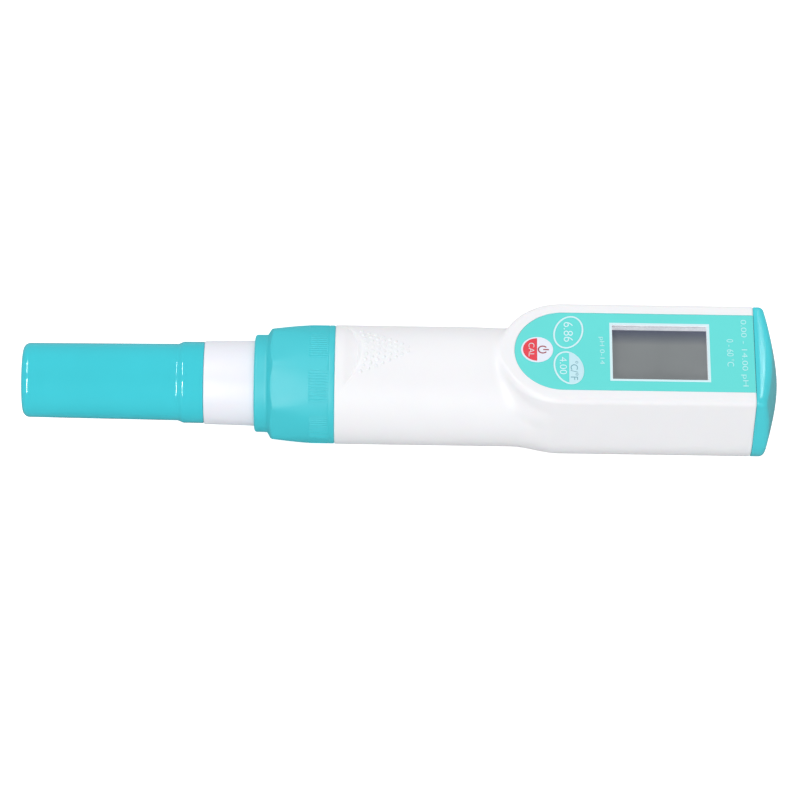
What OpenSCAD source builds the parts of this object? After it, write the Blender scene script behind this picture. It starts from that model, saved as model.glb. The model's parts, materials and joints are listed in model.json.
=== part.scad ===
// Pen-type pH and temperature meter: a round barrel that grows into a flat-faced head, with a
// replaceable electrode held by a screwed collar, a pull-off probe cap and a battery cap with its tray.
// X runs along the barrel from the probe cap to the battery cap, +Z is the display's side, and the
// origin is under the middle of the meter, on the plane that it rests on.

/* [Lengths along the meter] */
// Length of the probe cap
cap_len = 45.5; // [44:0.1:47]
// Length of the white ring that shows between the probe cap and the collar
ring_len = 12.6; // [11:0.1:14]
// Length of the locking collar
collar_len = 20.1; // [20:0.1:22]
// Length of the main body, from the collar to the battery cap
body_len = 104.2; // [103:0.1:108]
// Length of the battery cap outside the body, up to the top of its dome
end_len = 6.4; // [5:0.1:7]

/* [Barrel and head] */
// Outer radius of the round barrel
body_r = 14.9; // [14.8:0.05:15.1]
// Thickness of the barrel's wall
barrel_wall = 2; // [1.8:0.1:2.2]
// Half the width of the head
head_half_w = 15.7; // [15.6:0.05:16.2]
// Distance from the barrel's axis up to the head's flat face
face_h = 15; // [14.9:0.05:15.3]
// Rounding of the head's corners beside the face
face_corner_r = 1.7; // [1:0.1:2.5]
// Rounding of the head's corners at the back
back_corner_r = 12.6; // [12:0.1:13.5]
// Thickness of the head's wall
head_wall = 1.8; // [1.6:0.1:2]

/* [Face] */
// Half the width of the printed overlay, and the radius of its round end
overlay_half_w = 12.15; // [11.8:0.05:12.4]
// Length of the display opening along the meter
window_len = 23.7; // [23:0.1:24.5]
// Width of the display opening across the meter
window_w = 17.1; // [16:0.1:17.6]
// Radius of the round power key
power_key_r = 3.95; // [3.8:0.05:4.2]
// Long half-axis of an oval buffer key
oval_key_a = 5.25; // [5:0.05:5.5]
// Short half-axis of an oval buffer key
oval_key_b = 3.65; // [3.4:0.05:3.8]
// How far the long axis of an oval key leans along the meter, in degrees
oval_key_lean = 15; // [0:1:20]
// Travel of a key when it is pressed
key_travel = 0.4; // [0.2:0.05:0.45]

/* [Collar and electrode] */
// Pitch of the collar's thread
thread_pitch = 2; // [1.5:0.25:2]
// Number of flats, and of ribbed grips, round the collar
collar_flats = 8; // [6:1:10]
// Number of fine ribs in one grip
grip_ribs = 11; // [7:1:11]
// Outer radius of the electrode's clear barrel
barrel_r = 6.4; // [6:0.1:6.4]
// Radius of the glass bulb
bulb_r = 3.3; // [2.8:0.1:3.6]
// Number of contact pins between the electrode and the body
pin_count = 5; // [4:1:6]

/* [Batteries] */
// Radius of a button cell
cell_r = 5.8; // [5.7:0.05:5.8]
// Thickness of a button cell
cell_h = 5.4; // [5.2:0.1:5.4]
// Number of button cells
cell_count = 4; // [3:1:4]

/* [Hidden] */
$fn = 72;
fit = 0.05; // clearance between two pieces that touch on the real meter

// Colours
teal = "#4fc8d6";
teal_soft = "#52c9d3";
overlay_teal = "#5fe0d8";
shell_white = "#f1f1f4";
rubber = "#2b2b2e";
gold = "#c9a24a";
steel = "#b9bcc0";

// Stations along the meter, from the closed end of the probe cap
x_ring = cap_len;
x_collar = x_ring + ring_len;
x_body = x_collar + collar_len;
x_end = x_body + body_len;
x_tip = x_end + end_len;

// Heights from the barrel's axis
back_h = body_r;                     // the back of the head is flush with the barrel, so both rest
overlay_floor = face_h - 0.3;
overlay_t = 0.25;
board_z = 4;                         // underside of the circuit board
board_t = 1.2;
board_top = board_z + board_t;

// Probe cap
cap_tip_r = 9.3;
cap_waist_r = 9.6;
cap_lip_r = 10.2;
cap_bore_r = 7.9;
cap_mouth_r = 8.75;
cap_floor = 1.6;
cap_round = 1.7;
flare_start = cap_len - 6.8;
flare_end = cap_len - 5;
mouth_depth = 5.6;
sponge_t = 4.35;

// Electrode
neck_len = 5;
neck_r = 8.6;
ring_r_front = 10.42;
ring_r_back = 10.67;
flange_r = 11.55;
flange_x = x_collar + 4.85;
flange_t = 2.2;
spigot_x = flange_x + flange_t;
spigot_r = 9.05;
spigot_end = x_collar + 17.1;
cord_r = 0.76;                       // radius of an O-ring's cord
guard_x = cap_floor + fit + sponge_t + 0.5;
barrel_bore_r = 5.2;
barrel_end = x_ring + 10.9;
bulb_x = guard_x + 6.1;
stem_r = 2.5;
glass_t = 0.45;
probe_tip_x = bulb_x + bulb_r + 1.4;
junction_x = probe_tip_x + 3.7;
side_r = 3.85;                       // where the reference wire and the sensor lie beside the stem
plug_x = spigot_end - 5;
plug_len = 6;
pin_r = 0.5;
pin_circle_r = 3.8;

// Collar
collar_bore_r = 11.75;
collar_front_r = 10.75;
collar_phase = -5.5;                 // angle from the display side to the nearest flat
step_r = 12.2;
step_len = 3.3;
flat_front = 13.7;                   // distance from the axis to a flat at the collar's front
flat_back = 14.75;                   // the same at the ribbed band
band_len = 5.6;
rim_len = 1.9;
rib_w = 0.38;

// Body
insert_root_r = 10.9;
insert_crest_r = 11.6;
insert_flange_r = body_r - barrel_wall - 0.1;
insert_x = x_collar + 8.3;
front_wall = 2;
notch_x = x_body + 2;                // a thumb notch in the barrel, behind the collar
notch_len = 4.2;
notch_depth = 1;
notch_arc_r = 12.5;
arc_x = x_end - 47.1;                // centre of the round end of the face
platform_lead = 0.5;                 // how far the raised face's round end is moved towards the barrel
waist_x = arc_x - head_half_w - 0.9; // the barrel is slightly slimmer from here, to seat a ring
waist_r = body_r - 0.2;
flare_x0 = arc_x - 9.3;              // where the barrel starts to grow into the head's sides
flare_x1 = arc_x - 1.3;
cavity_x = arc_x - 1.3;

// Face
overlay_lead = 0.35;                 // the same for the overlay, which leaves a wider rim at the front
window_x = x_end - 35.37;            // start of the display opening
power_key_x = arc_x - 6.92;
oval_key_x = arc_x + 0.88;
oval_key_y = 5.6;
keys_y = 0.3;                        // the keys sit slightly off the middle of the face
key_gap = 0.12;
key_top = face_h + 0.06;
key_t = 0.6;
key_stem_r = 1.3;
plunger_top = 11;

// Circuit board and display
board_x0 = arc_x - 14.3;
board_x1 = x_end - 4.4;
board_half_w = 11;
switch_w = 4.5;
switch_h = 3;
lcd_top = face_h - 2.1;
lcd_t = 2.2;
lcd_margin = 1.4;
frame_t = 1.6;

// Batteries
cell_z = -4.7;
tray_x0 = x_end - 31.9;
tray_x1 = x_end - 1.4;
tray_half_w = 7.2;
tray_wall = 2.4;
trough_r = cell_r + 0.15;
trough_x0 = tray_x0 + tray_wall;
spring_len = 2.3;
trough_x1 = trough_x0 + cell_count * cell_h + spring_len + 0.9;

// Battery cap
skirt_len = 5.4;
skirt_wall = 1.4;
skirt_inset = head_wall + 0.15;
gasket_w = 1.6;
dome_z = 1.4;                        // height of the dome's top above the barrel's axis
dome_slope = 0.31;
dome_soft = 3;

// ---------- Helpers ----------

// A solid of revolution about the meter's axis, from [x, radius] points.
module turned(points) {
    rotate([0, 90, 0]) rotate_extrude() polygon([for (p = points) [p[1], p[0]]]);
}

// A round bar along the meter's axis.
module bar(x0, x1, r) {
    translate([x0, 0, 0]) rotate([0, 90, 0]) cylinder(h = x1 - x0, r = r);
}

// A tube along the meter's axis.
module tube(x0, x1, r_out, r_in) {
    difference() {
        bar(x0, x1, r_out);
        bar(x0 - 1, x1 + 1, r_in);
    }
}

// An O-ring round the meter's axis.
module oring(x, r_mid, r_cord) {
    translate([x, 0, 0]) rotate([0, 90, 0])
        rotate_extrude() translate([r_mid, 0]) circle(r = r_cord, $fn = 24);
}

// Extrudes a section drawn as [y, z] along the meter.
module along(x0, x1) {
    translate([x0, 0, 0]) rotate([90, 0, 90]) linear_extrude(x1 - x0) children();
}

// Extrudes an outline drawn as [x, y] between two heights.
module plate(z0, z1) {
    translate([0, 0, z0]) linear_extrude(z1 - z0) children();
}

// A box from its lowest to its highest corner.
module block(low, high) {
    translate(low) cube(high - low);
}

// Copies its children round the meter's axis.
module around(count, first = 0) {
    for (i = [0:count - 1]) rotate([first + i * 360 / count, 0, 0]) children();
}

// Points of an arc.
function arc(cx, cy, r, a0, a1, n) =
    [for (i = [0:n]) let (a = a0 + (a1 - a0) * i / n) [cx + r * cos(a), cy + r * sin(a)]];

// A smooth step from 0 to 1.
function ease(t) = t * t * (3 - 2 * t);

// Points of an ellipse.
function ellipse(a, b, n) = [for (i = [0:n - 1]) let (t = 360 * i / n) [a * cos(t), b * sin(t)]];

// Directions and frames for a cord that follows a path.
function unit(v) = v / norm(v);
function heading(path, i) = unit(path[min(i + 1, len(path) - 1)] - path[max(i - 1, 0)]);
function side(path, i, up) = unit(cross(heading(path, i), up));
function cord_ring(path, i, r, n, up) =
    let (u = side(path, i, up), v = cross(heading(path, i), u))
    [for (k = [0:n - 1]) path[i] + r * cos(360 * k / n) * u + r * sin(360 * k / n) * v];

// A cord of radius r along a path.
module cord(path, r, n, up) {
    last = len(path) - 1;
    points = [for (i = [0:last]) each cord_ring(path, i, r, n, up)];
    walls = [for (i = [0:last - 1], k = [0:n - 1]) each let (a = i * n + k, b = i * n + (k + 1) % n)
        [[a, b, a + n], [b, b + n, a + n]]];
    ends = [[for (k = [n - 1:-1:0]) k], [for (k = [0:n - 1]) last * n + k]];
    polyhedron(points, concat(walls, ends), convexity = 6);
}

// The head's section, drawn as [y, z] and shrunk by an inset.
module head_section(inset = 0) {
    w = head_half_w - inset;
    top = face_h - inset;
    low = back_h - inset;
    r_face = max(face_corner_r - inset, 0.4);
    r_back = back_corner_r - inset;
    polygon(concat(
        arc(w - r_face, top - r_face, r_face, 0, 90, 6),
        arc(r_face - w, top - r_face, r_face, 90, 180, 6),
        arc(r_back - w, r_back - low, r_back, 180, 270, 24),
        arc(w - r_back, r_back - low, r_back, 270, 360, 24)));
}

// The outline of a face with a round front end, drawn as [x, y].
module face_outline(half_w, x1, lead = 0) {
    translate([arc_x - lead, 0]) circle(r = half_w);
    translate([arc_x - lead, -half_w]) square([x1 - arc_x + lead, 2 * half_w]);
}

// The outline of each key, grown by a gap and drawn as [x, y].
module power_outline(gap = 0) {
    translate([power_key_x, keys_y]) circle(r = power_key_r + gap);
}

module oval_outline(dir, gap = 0) {
    translate([oval_key_x, keys_y + dir * oval_key_y]) rotate(90 - dir * oval_key_lean)
        polygon(ellipse(oval_key_a + gap, oval_key_b + gap, 60));
}

// Where each key's stem and switch stand.
key_spots = [[power_key_x, keys_y], [oval_key_x, keys_y + oval_key_y], [oval_key_x, keys_y - oval_key_y]];

// ---------- Probe cap and its contents ----------

module probe_cap() {
    flare = [for (i = [0:8]) [flare_start + (flare_end - flare_start) * i / 8,
        cap_waist_r + (cap_lip_r - cap_waist_r) * ease(i / 8)]];
    color(teal) turned(concat(
        [[0, 0]],
        [for (p = arc(cap_round, cap_tip_r - cap_round, cap_round, 180, 90, 8)) p],
        flare,
        [[cap_len - fit, cap_lip_r], [cap_len - fit, cap_mouth_r], [cap_len - mouth_depth, cap_mouth_r],
         [cap_len - mouth_depth, cap_bore_r], [cap_floor, cap_bore_r], [cap_floor, 0]]));
}

module cap_sponge() {
    color("#e9dfb0") bar(cap_floor + fit, cap_floor + fit + sponge_t, cap_bore_r - 0.1);
}

module cap_oring() {
    color(rubber) oring(x_ring - 2.4, neck_r + 0.12 - cord_r, cord_r);
}

// ---------- Electrode ----------

// The groove for an O-ring, as [x, radius] points of an outline that runs towards +X.
function groove(x, r_out, r_floor) =
    [[x - 0.9, r_out], [x - 0.9, r_floor], [x + 0.9, r_floor], [x + 0.9, r_out]];

module electrode_sleeve() {
    chamber_r = barrel_r + 0.2;
    color(shell_white) turned(concat(
        [[x_ring - neck_len, barrel_r + fit], [x_ring - neck_len, neck_r]],
        groove(x_ring - 2.4, neck_r, neck_r - 1.45),
        [[x_ring + fit, neck_r], [x_ring + fit, ring_r_front], [x_collar, ring_r_back],
         [flange_x, ring_r_back], [flange_x, flange_r], [spigot_x, flange_r], [spigot_x, spigot_r]],
        groove(spigot_x + 4, spigot_r, spigot_r - 1.42),
        [[spigot_end - 0.6, spigot_r], [spigot_end, spigot_r - 0.6], [spigot_end, chamber_r],
         [barrel_end + 1.1, chamber_r], [barrel_end + 1.1, barrel_bore_r + 0.4],
         [barrel_end + 0.1, barrel_bore_r + 0.4], [barrel_end + 0.1, barrel_r + fit]]));
}

module electrode_barrel() {
    slot_r = 1.6;
    slot_x = guard_x + 7;
    reach = barrel_r + 1;
    color("#cfe3ea") difference() {
        tube(guard_x, barrel_end, barrel_r, barrel_bore_r);
        for (a = [45, 135]) rotate([a, 0, 0]) {
            block([guard_x - 1, -slot_r, -reach], [slot_x, slot_r, reach]);
            translate([slot_x, 0, -reach]) cylinder(h = 2 * reach, r = slot_r);
        }
    }
}

module glass_electrode() {
    stem_end = barrel_end - 4;
    color("#dfeef2") difference() {
        union() {
            translate([bulb_x, 0, 0]) sphere(r = bulb_r);
            bar(bulb_x, stem_end, stem_r);
        }
        translate([bulb_x, 0, 0]) sphere(r = bulb_r - glass_t);
        bar(bulb_x, stem_end + 1, stem_r - glass_t);
    }
}

module silver_wire() {
    color(steel) union() {
        bar(bulb_x - 1, bulb_x + 6, 0.6);
        bar(bulb_x + 5, plug_x - 0.6, 0.35);
    }
}

module reference_wire() {
    color(steel) translate([0, 0, side_r]) bar(junction_x + 4.5, plug_x - 0.6, 0.3);
}

module junction_ring() {
    color("#f4f2ea") difference() {
        tube(junction_x, junction_x + 3, barrel_bore_r - fit, stem_r + fit);
        translate([0, 0, -side_r]) bar(guard_x, guard_x + 30, 1.12);
    }
}

module temperature_probe() {
    color(steel) translate([0, 0, -side_r]) union() {
        translate([probe_tip_x, 0, 0]) sphere(r = 1.05, $fn = 40);
        bar(probe_tip_x, guard_x + 27, 1.05);
    }
}

module sensor_leads() {
    color("#d8d2c0") for (y = [-0.6, 0.6])
        translate([0, y, -side_r]) bar(guard_x + 27.1, plug_x - 0.6, 0.25);
}

module potting_disc() {
    color("#3a3f44") difference() {
        tube(barrel_end - 10, barrel_end - 6, barrel_bore_r - fit, stem_r + fit);
        translate([0, 0, side_r]) bar(barrel_end - 11, barrel_end, 0.35);
        for (y = [-0.6, 0.6]) translate([0, y, -side_r]) bar(barrel_end - 11, barrel_end, 0.3);
    }
}

module electrode_oring() {
    color(rubber) oring(spigot_x + 4, spigot_r + 0.08 - cord_r + 0.02, cord_r);
}

module pins(x0, x1, r) {
    around(pin_count) translate([0, 0, pin_circle_r]) bar(x0, x1, r);
}

module plug_block() {
    color("#26282b") difference() {
        bar(plug_x, plug_x + plug_len, barrel_r + 0.15);
        pins(plug_x - 1, plug_x + plug_len + 1, pin_r + 0.03);
        bar(plug_x + plug_len - 1.5, plug_x + plug_len + 1, 1.6);
    }
}

module plug_pins() {
    color(gold) pins(plug_x - 0.4, plug_x + plug_len + 5.6, pin_r);
}

// ---------- Locking collar ----------

module lock_collar() {
    x_step = x_collar + step_len;
    x_flat = x_step + 1.6;
    x_band = x_body - band_len;
    x_rim = x_body - rim_len;
    slope = atan((flat_back - flat_front) / (x_band - x_flat));
    color(teal_soft) difference() {
        union() {
            difference() {
                turned(concat(
                    [[x_collar, collar_front_r]],
                    arc(x_collar + 0.6, step_r - 0.6, 0.6, 180, 90, 5),
                    [[x_step - 0.3, step_r], [x_step, step_r + 0.1], [x_flat + 0.9, body_r - 0.1],
                     [x_band, body_r - 0.1], [x_band, flat_back - 0.1], [x_rim, flat_back - 0.1],
                     [x_rim, body_r - fit], [x_body - fit, body_r - fit],
                     [x_body - fit, collar_front_r]]));
                around(collar_flats, collar_phase)
                    translate([x_flat, 0, flat_front]) rotate([0, -slope, 0]) translate([-4, -9, 0])
                        cube([4 + (x_band - x_flat) / cos(slope) - 0.01, 18, 4]);
            }
            around(collar_flats, collar_phase) for (i = [0:grip_ribs - 1])
                rotate([(i - (grip_ribs - 1) / 2) * 30 / grip_ribs, 0, 0])
                    block([x_band - 0.9, -rib_w / 2, flat_back - 1],
                          [x_rim + 0.2, rib_w / 2, body_r - 0.08]);
        }
        bar(flange_x - 0.1, x_body + 1, collar_bore_r);
    }
}

module collar_gasket() {
    color(rubber) tube(spigot_x + fit, insert_x - fit, flange_r - 0.15, spigot_r + 0.15);
}

// ---------- Barrel's threaded insert, socket and wires ----------

module thread_insert() {
    ridges = floor((x_body - insert_x - 3) / thread_pitch);
    root = insert_root_r;
    crest = insert_crest_r;
    flange = x_body + front_wall + fit;
    flange_end = x_body + front_wall + 2.5;
    color(shell_white) turned(concat(
        [[insert_x, spigot_r + 0.1], [insert_x, root - 0.4], [insert_x + 0.4, root]],
        [for (i = [0:ridges - 1]) each let (x = insert_x + 1 + i * thread_pitch)
            [[x, root], [x + 0.5, crest], [x + 0.9, crest], [x + 1.4, root]]],
        [[flange, root], [flange, insert_flange_r], [flange_end, insert_flange_r],
         [flange_end, spigot_r + 0.1]]));
}

socket_x = x_body + 0.3;
socket_end = x_body + front_wall + 4.3;

module socket_block() {
    color("#26282b") difference() {
        union() {
            bar(socket_x, socket_end, spigot_r);
            bar(x_body + front_wall + 2.5 + fit, socket_end, spigot_r + 1.5);
        }
        pins(socket_x - 1, socket_end + 1, pin_r + 0.45);
    }
}

module socket_contacts() {
    color(gold) around(pin_count) translate([0, 0, pin_circle_r])
        tube(socket_x + 0.2, socket_end + 1, pin_r + 0.42, pin_r + 0.06);
}

// The contacts are ranked by their place across the meter, so that no two wires cross on the way.
function contact_y(i) = i * 0.001 - pin_circle_r * sin(i * 360 / pin_count);
function rank(i) = len([for (j = [0:pin_count - 1]) if (contact_y(j) < contact_y(i)) j]);
function wire_path(i) =
    let (y0 = contact_y(i), z0 = pin_circle_r * cos(i * 360 / pin_count),
         y1 = (rank(i) - (pin_count - 1) / 2) * 2.6, z1 = board_z + board_t / 2,
         x0 = socket_end + 1.1, x1 = board_x0 - 0.1)
    [for (k = [0:16]) let (t = k / 16, e = ease(t))
        [x0 + (x1 - x0) * t, y0 + (y1 - y0) * e, z0 + (z1 - z0) * e - 1.5 * sin(180 * t)]];

module signal_wires() {
    color("#c9433b") for (i = [0:pin_count - 1]) cord(wire_path(i), 0.42, 8, [0, 0, 1]);
}

// ---------- Main body ----------

module body_solid() {
    turned([[x_body, 0], [x_body, body_r], [waist_x, body_r], [waist_x + 0.8, waist_r],
            [arc_x, waist_r], [arc_x, 0]]);
    intersection() {
        along(arc_x - head_half_w - platform_lead, x_end) head_section();
        union() {
            plate(0, face_h + 1) face_outline(head_half_w, x_end, platform_lead);
            turned([[flare_x0, 0], [flare_x0, waist_r - 0.01], [flare_x1, head_half_w + 0.6],
                    [flare_x1, 2 * head_half_w], [x_end, 2 * head_half_w], [x_end, 0]]);
        }
    }
}

module thumb_notch() {
    notch_end = notch_x + notch_len;
    intersection() {
        turned([[notch_x, body_r], [notch_x, body_r + 3], [notch_end, body_r + 3],
                [notch_end, body_r - notch_depth]]);
        plate(0, body_r + 2) translate([notch_end - notch_arc_r, 0]) circle(r = notch_arc_r);
    }
}

module body_shell() {
    color(shell_white) difference() {
        body_solid();
        thumb_notch();
        bar(x_body - 1, x_body + front_wall + 1, insert_root_r + 0.08);
        bar(x_body + front_wall, cavity_x + 1, body_r - barrel_wall);
        along(cavity_x, x_end + 1) head_section(head_wall);
        plate(overlay_floor, face_h + 1) face_outline(overlay_half_w + 0.1, x_end + 1, overlay_lead);
        block([window_x, -window_w / 2, 0], [window_x + window_len, window_w / 2, face_h + 1]);
        plate(key_top - key_t - key_travel - 0.1, face_h + 1) {
            power_outline(0.15);
            for (dir = [-1, 1]) oval_outline(dir, 0.15);
        }
        for (p = key_spots) translate([p[0], p[1], 8]) cylinder(h = face_h, r = key_stem_r + 0.2);
    }
}

module face_overlay() {
    color(overlay_teal) plate(overlay_floor + 0.02, overlay_floor + 0.02 + overlay_t) difference() {
        face_outline(overlay_half_w, x_end - fit, overlay_lead);
        translate([window_x, -window_w / 2]) square([window_len, window_w]);
        power_outline(key_gap);
        for (dir = [-1, 1]) oval_outline(dir, key_gap);
    }
}

module display_window() {
    color("#dfe9ec") block(
        [window_x + fit, -window_w / 2 + fit, overlay_floor - 0.6],
        [window_x + window_len - fit, window_w / 2 - fit, overlay_floor]);
}

// ---------- Keys and switches ----------

module key(spot) {
    plate(key_top - key_t, key_top) children();
    translate([spot[0], spot[1], plunger_top + 0.05])
        cylinder(h = key_top - plunger_top - key_t / 2, r = key_stem_r);
}

module power_key() {
    color("#e8404a") key(key_spots[0]) power_outline();
}

module ph7_key() {
    color(overlay_teal) key(key_spots[1]) oval_outline(1);
}

module ph4_key() {
    color(overlay_teal) key(key_spots[2]) oval_outline(-1);
}

module plunger(spot) {
    translate([spot[0], spot[1], board_top + 1.2]) cylinder(h = plunger_top - board_top - 1.2, r = 1.15);
}

module power_plunger() {
    color("#1f1f21") plunger(key_spots[0]);
}

module ph7_plunger() {
    color("#1f1f21") plunger(key_spots[1]);
}

module ph4_plunger() {
    color("#1f1f21") plunger(key_spots[2]);
}

module switch_bodies() {
    color("#8f9296") for (p = key_spots) translate([p[0], p[1], board_top + 0.01]) difference() {
        translate([-switch_w / 2, -switch_w / 2, 0]) cube([switch_w, switch_w, switch_h]);
        translate([0, 0, 0.5]) cylinder(h = switch_h, r = 1.25);
    }
}

// ---------- Circuit board, display and their holder ----------

screw_y = board_half_w - 1.6;
screw_spots = [for (x = [board_x0 + 19.6, board_x1 - 1.9], dir = [-1, 1]) [x, dir * screw_y]];

module carrier_frame() {
    rail_in = board_half_w - 2.6;
    color("#d9dadd") difference() {
        union() {
            for (dir = [-1, 1]) block(
                [board_x0 + 1, min(dir * rail_in, dir * board_half_w), board_z - 2.6],
                [board_x1 - 0.2, max(dir * rail_in, dir * board_half_w), board_z - 0.02]);
            for (x = [board_x0 + 1, arc_x + 6, board_x1 - 3.2])
                block([x, -board_half_w + 1, board_z - 2.6], [x + 3, board_half_w - 1, board_z - 1.6]);
        }
        for (p = screw_spots) translate([p[0], p[1], 0]) cylinder(h = board_z, r = 0.85);
    }
}

module main_board() {
    color("#2f6f4a") difference() {
        block([board_x0, -board_half_w, board_z], [board_x1, board_half_w, board_top]);
        for (p = screw_spots) translate([p[0], p[1], board_z - 1]) cylinder(h = board_t + 2, r = 1.05);
    }
}

module board_screws() {
    color(steel) for (p = screw_spots) translate([p[0], p[1], 0]) {
        translate([0, 0, board_top + 0.02]) difference() {
            cylinder(h = 0.9, r = 1.55);
            translate([-0.9, -0.18, 0.5]) cube([1.8, 0.36, 1]);
            translate([-0.18, -0.9, 0.5]) cube([0.36, 1.8, 1]);
        }
        translate([0, 0, board_z - 2.4]) cylinder(h = board_t + 2.5, r = 0.8);
    }
}

lcd_x0 = window_x - lcd_margin;
lcd_x1 = window_x + window_len + lcd_margin;
lcd_half_w = window_w / 2 + 1.2;

module lcd_glass() {
    color("#8b9092") block([lcd_x0, -lcd_half_w, lcd_top - lcd_t], [lcd_x1, lcd_half_w, lcd_top]);
}

module lcd_frame() {
    gap = 0.06;
    outer_half_w = lcd_half_w + 1.2;
    color("#e4e6e8") difference() {
        block([lcd_x0 - frame_t, -outer_half_w, board_top + 1],
              [lcd_x1 + frame_t, outer_half_w, lcd_top + 0.12]);
        block([lcd_x0 - gap, -lcd_half_w - gap, board_top], [lcd_x1 + gap, lcd_half_w + gap, face_h]);
    }
}

module zebra_strips() {
    color("#e58fa8") for (dir = [-1, 1]) block(
        [lcd_x0 + 0.5, min(dir * (lcd_half_w - 2.1), dir * (lcd_half_w - 0.3)), board_top + 0.02],
        [lcd_x1 - 0.5, max(dir * (lcd_half_w - 2.1), dir * (lcd_half_w - 0.3)), lcd_top - lcd_t - 0.02]);
}

// A chip under the board with two rows of legs.
module chip(x, y, len_x, len_y, h, legs) {
    pitch = (len_x - 1) / (legs - 1);
    top = board_z - 0.15;
    block([x - len_x / 2, y - len_y / 2, top - h], [x + len_x / 2, y + len_y / 2, top]);
    for (i = [0:legs - 1], leg_y = [-len_y / 2 - 0.7, len_y / 2 - 0.1])
        translate([x - len_x / 2 + 0.35 + i * pitch, y + leg_y, top - 0.17]) cube([0.3, 0.8, 0.3]);
}

module main_chip() {
    color("#1c1d1f") chip(window_x + window_len / 2, 0, 8, 7, 1.3, 10);
}

module amplifier_chips() {
    color("#1c1d1f") {
        chip(board_x0 + 10, -3.5, 5, 4, 1.2, 4);
        chip(board_x0 + 10, 4, 5, 4, 1.2, 4);
    }
}

module crystal_can() {
    x = window_x + window_len - 2;
    color(steel) translate([0, 5.6, board_z - 1.25]) bar(x, x + 5.5, 1.1);
}

// Leaf springs under the board that press on the tray's front end.
module battery_leaves() {
    color(gold) for (dir = [-1, 1]) translate([0, dir * 4.2, 0]) union() {
        block([tray_x0 - 3.2, -1.1, board_z - 0.25], [tray_x0 - 0.6, 1.1, board_z - 0.02]);
        block([tray_x0 - 0.85, -1.1, cell_z - 1], [tray_x0 - 0.6, 1.1, board_z - 0.1]);
        block([tray_x0 - 0.85, -1.1, cell_z - 1.25], [tray_x0 - 0.08, 1.1, cell_z - 1]);
    }
}

// ---------- Battery cap, tray and cells ----------

boss_y = 5.6;
boss_z = 2.2;

// Where the dome's surface lies at a distance d from its middle.
function dome_x(d) = x_tip + dome_soft - sqrt(dome_soft * dome_soft + pow(dome_slope * d, 2));

module end_cap() {
    color(teal) difference() {
        union() {
            intersection() {
                along(x_end + fit, x_tip + 1) head_section();
                translate([0, 0, dome_z]) turned(concat(
                    [[x_end - 1, 0], [x_end - 1, 26]],
                    [for (d = [26:-2:2]) [dome_x(d), d]],
                    [[dome_x(1), 1], [x_tip, 0]]));
            }
            along(x_end - skirt_len, x_end + fit + 0.1) head_section(skirt_inset);
        }
        along(x_end - skirt_len - 1, x_end + fit - 0.6) head_section(skirt_inset + skirt_wall);
        along(x_end - 3.6, x_end - 3.6 + gasket_w + 0.2) difference() {
            head_section(skirt_inset - 1);
            head_section(skirt_inset + 0.75);
        }
        for (dir = [-1, 1]) translate([0, dir * boss_y, boss_z]) bar(x_end - 3, x_end + 1.6, 0.6);
    }
}

module end_gasket() {
    color(rubber) along(x_end - 3.5, x_end - 3.5 + gasket_w) difference() {
        head_section(head_wall + fit);
        head_section(skirt_inset + 0.75 - fit);
    }
}

module battery_tray() {
    top_z = cell_z + 2;
    flange_top = boss_z - 1.8;
    x0 = tray_x1 - 1.6;
    x1 = tray_x1 + 0.75;
    color("#303236") difference() {
        union() {
            intersection() {
                along(tray_x0, x1) head_section(skirt_inset + skirt_wall + 0.15);
                union() {
                    block([tray_x0, -tray_half_w, -back_h], [tray_x1, tray_half_w, top_z]);
                    block([x0, -tray_half_w, -back_h], [x1, tray_half_w, flange_top]);
                }
            }
            for (dir = [-1, 1]) translate([0, dir * boss_y, 0]) {
                translate([0, 0, boss_z]) bar(x0, x1, 1.6);
                block([x0, -1.6, flange_top - 0.4], [x1, 1.6, boss_z]);
            }
        }
        translate([0, 0, cell_z]) bar(trough_x0, trough_x1, trough_r);
        block([trough_x0, -trough_r, cell_z], [trough_x1, trough_r, top_z + 1]);
        for (dir = [-1, 1]) translate([0, dir * boss_y, boss_z]) bar(tray_x1 - 3, tray_x1 + 2, 0.75);
    }
}

module tray_screws() {
    color(steel) for (dir = [-1, 1]) translate([0, dir * boss_y, boss_z]) difference() {
        union() {
            bar(tray_x1 - 2.5, tray_x1 - 1.65, 1.3);
            bar(tray_x1 - 1.8, x_end + 1.4, 0.55);
        }
        block([tray_x1 - 3, -0.8, -0.16], [tray_x1 - 2.1, 0.8, 0.16]);
        block([tray_x1 - 3, -0.16, -0.8], [tray_x1 - 2.1, 0.16, 0.8]);
    }
}

module button_cells() {
    color("#c4c7cb") for (i = [0:cell_count - 1]) let (x = trough_x0 + 0.6 + i * cell_h)
        translate([0, 0, cell_z])
            turned([[x + 0.02, 0], [x + 0.02, cell_r - 0.3], [x + 0.3, cell_r],
                    [x + cell_h * 0.78, cell_r], [x + cell_h * 0.86, cell_r - 0.5],
                    [x + cell_h * 0.86, cell_r - 0.9],
                    [x + cell_h - 0.02, cell_r - 1.1], [x + cell_h - 0.02, 0]]);
}

spring_x = trough_x0 + 0.6 + cell_count * cell_h + 0.35;

// A conical coil that presses the cells forward.
module cell_spring() {
    turns = 3;
    steps = 60;
    path = [for (k = [0:steps]) let (t = k / steps, a = 360 * turns * t, r = 1.8 + 2.6 * t)
        [spring_x + (spring_len - 0.7) * t, r * cos(a), cell_z + r * sin(a)]];
    color(steel) cord(path, 0.22, 8, [1, 0, 0]);
}

// The flat contact at the front of the trough.
module cell_plate() {
    color(gold) translate([0, 0, cell_z]) bar(trough_x0 + 0.05, trough_x0 + 0.55, 4.6);
}

// ---------- Placing ----------

// Moves a node from the barrel's axis to the frame under the middle of the meter.
module placed() {
    translate([-x_tip / 2, 0, back_h]) children();
}

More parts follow.
